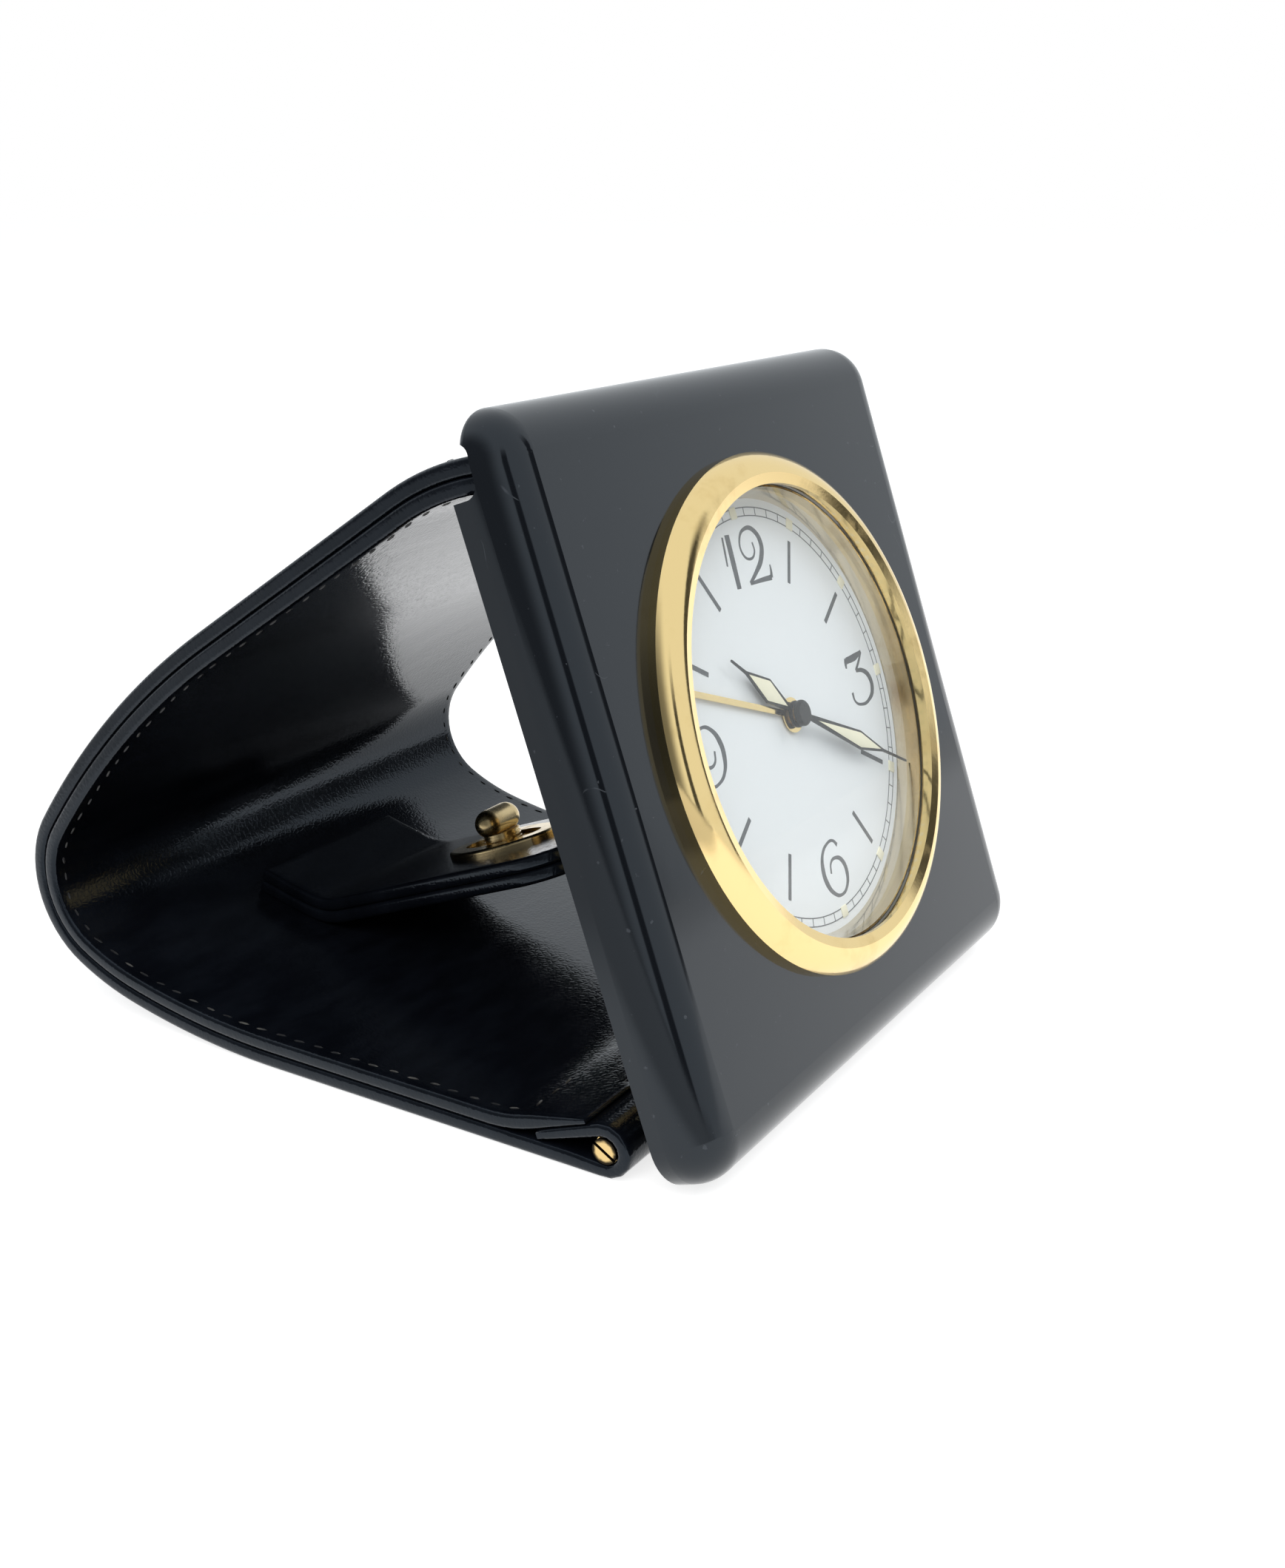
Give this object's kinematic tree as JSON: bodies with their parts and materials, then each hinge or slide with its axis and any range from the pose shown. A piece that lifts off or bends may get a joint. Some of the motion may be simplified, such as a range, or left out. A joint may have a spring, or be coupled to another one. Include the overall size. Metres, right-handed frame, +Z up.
{
  "type": "travel alarm clock",
  "caption": "Square desk and travel alarm clock that leans back on its own looped leather cover, hinged on a pin, with hands set from the back.",
  "frame": {"origin": "on the table, under the middle of the whole clock with its cover", "axes": "+X to the right as the dial is faced, +Y from the dial back along the table, +Z up"},
  "size_m": [0.0762, 0.0902, 0.0717],
  "materials": {
    "lacquer": "deep gloss lacquer",
    "gilt": "polished gold plate",
    "glass": "clear flat mineral glass",
    "gasket": "matt",
    "dial_white": "satin white",
    "hand_black": "satin black with cream filling",
    "leather_black": "glossy box calf with painted edges",
    "plastic_black": "moulded",
    "movement_brass": "fine brushed",
    "hinge_steel": "blackened",
    "board_green": "printed circuit board",
    "copper_coil": "fine enamelled wire",
    "cell_steel": "nickel plated"
  },
  "bodies": {
    "case": {"case_body": "lacquer", "back_plate": "lacquer", "bezel": "gilt", "crystal": "glass", "crystal_gasket": "gasket", "reflector_ring": "gilt", "dial": "dial_white", "movement_plate": "movement_brass", "movement_housing": "plastic_black", "circuit_board": "board_green", "motor_coil": "copper_coil", "cell": "cell_steel", "cell_contact": "cell_steel", "sounder": "cell_steel", "back_cover": "gilt", "back_screws": "gilt", "hinge_lugs": "hinge_steel", "lug_screws": "gilt", "hinge_pin": "cell_steel", "pin_screws": "gilt"},
    "minute": {"minute_hand": "hand_black", "hand_cap": "hand_black", "cannon_wheel": "movement_brass"},
    "hour": {"hour_hand": "hand_black", "hour_wheel": "movement_brass"},
    "idler": {"minute_wheel": "movement_brass"},
    "alarm": {"alarm_hand": "gilt", "alarm_wheel": "movement_brass"},
    "time_knob": {"time_knob": "gilt"},
    "alarm_knob": {"alarm_knob": "gilt"},
    "alarm_switch": {"alarm_switch": "plastic_black"},
    "battery_hatch": {"battery_hatch": "gilt"},
    "cover_lower": {"skin_lower": "leather_black", "lining_lower": "leather_black", "hinge_tube": "movement_brass", "tab_root": "leather_black"},
    "cover_upper": {"skin_upper": "leather_black", "lining_upper": "leather_black"},
    "tab": {"tab_under": "leather_black", "tab_top": "leather_black", "eyelet_plate": "gilt", "lock_post": "gilt"},
    "turn_bar": {"turn_bar": "gilt"}
  },
  "joints": [
    {"name": "time_knob_turn", "type": "hinge", "parent": "case", "child": "time_knob", "pos_m": [0.00792, -0.02486, 0.02596], "axis": [0, 0.9441, -0.3295], "continuous": true},
    {"name": "minute_turn", "type": "hinge", "parent": "case", "child": "minute", "pos_m": [0, -0.03358, 0.03739], "axis": [0, 0.9441, -0.3295], "continuous": true},
    {"name": "hour_turn", "type": "hinge", "parent": "case", "child": "hour", "pos_m": [0, -0.03358, 0.03739], "axis": [0, 0.9441, -0.3295], "continuous": true},
    {"name": "idler_turn", "type": "hinge", "parent": "case", "child": "idler", "pos_m": [0.00693, -0.02849, 0.03985], "axis": [0, 0.9441, -0.3295], "continuous": true},
    {"name": "alarm_knob_turn", "type": "hinge", "parent": "case", "child": "alarm_knob", "pos_m": [-0.00792, -0.02486, 0.02596], "axis": [0, 0.9441, -0.3295], "continuous": true},
    {"name": "alarm_turn", "type": "hinge", "parent": "case", "child": "alarm", "pos_m": [0, -0.03358, 0.03739], "axis": [0, 0.9441, -0.3295], "continuous": true},
    {"name": "alarm_switch_slide", "type": "slide", "parent": "case", "child": "alarm_switch", "axis": [1, 0, 0], "range_m": [0, 0.003]},
    {"name": "hatch_turn", "type": "hinge", "parent": "case", "child": "battery_hatch", "pos_m": [0, -0.02028, 0.0391], "axis": [0, 0.9441, -0.3295], "range_deg": [0, 30]},
    {"name": "cover_swing", "type": "hinge", "parent": "case", "child": "cover_lower", "pos_m": [0, -0.03253, 0.0029], "axis": [-1, 0, 0], "range_deg": [0, 95]},
    {"name": "cover_open", "type": "hinge", "parent": "cover_lower", "child": "cover_upper", "pos_m": [0, 0.04243, 0.0083], "axis": [-1, 0, 0], "range_deg": [0, 110]},
    {"name": "tab_lift", "type": "hinge", "parent": "cover_lower", "child": "tab", "pos_m": [0, 0.02581, 0.0081], "axis": [-1, 0, 0], "range_deg": [0, 20]},
    {"name": "twist_lock", "type": "hinge", "parent": "tab", "child": "turn_bar", "pos_m": [0, 0.00517, 0.015], "axis": [0, 0.36, 0.933], "range_deg": [0, 90]}
  ],
  "couplings": [
    {"joint": "minute_turn", "follows": "time_knob_turn", "ratio": -0.4},
    {"joint": "hour_turn", "follows": "time_knob_turn", "ratio": -0.033333},
    {"joint": "idler_turn", "follows": "time_knob_turn", "ratio": 0.13333},
    {"joint": "alarm_turn", "follows": "alarm_knob_turn", "ratio": -0.55556}
  ]
}
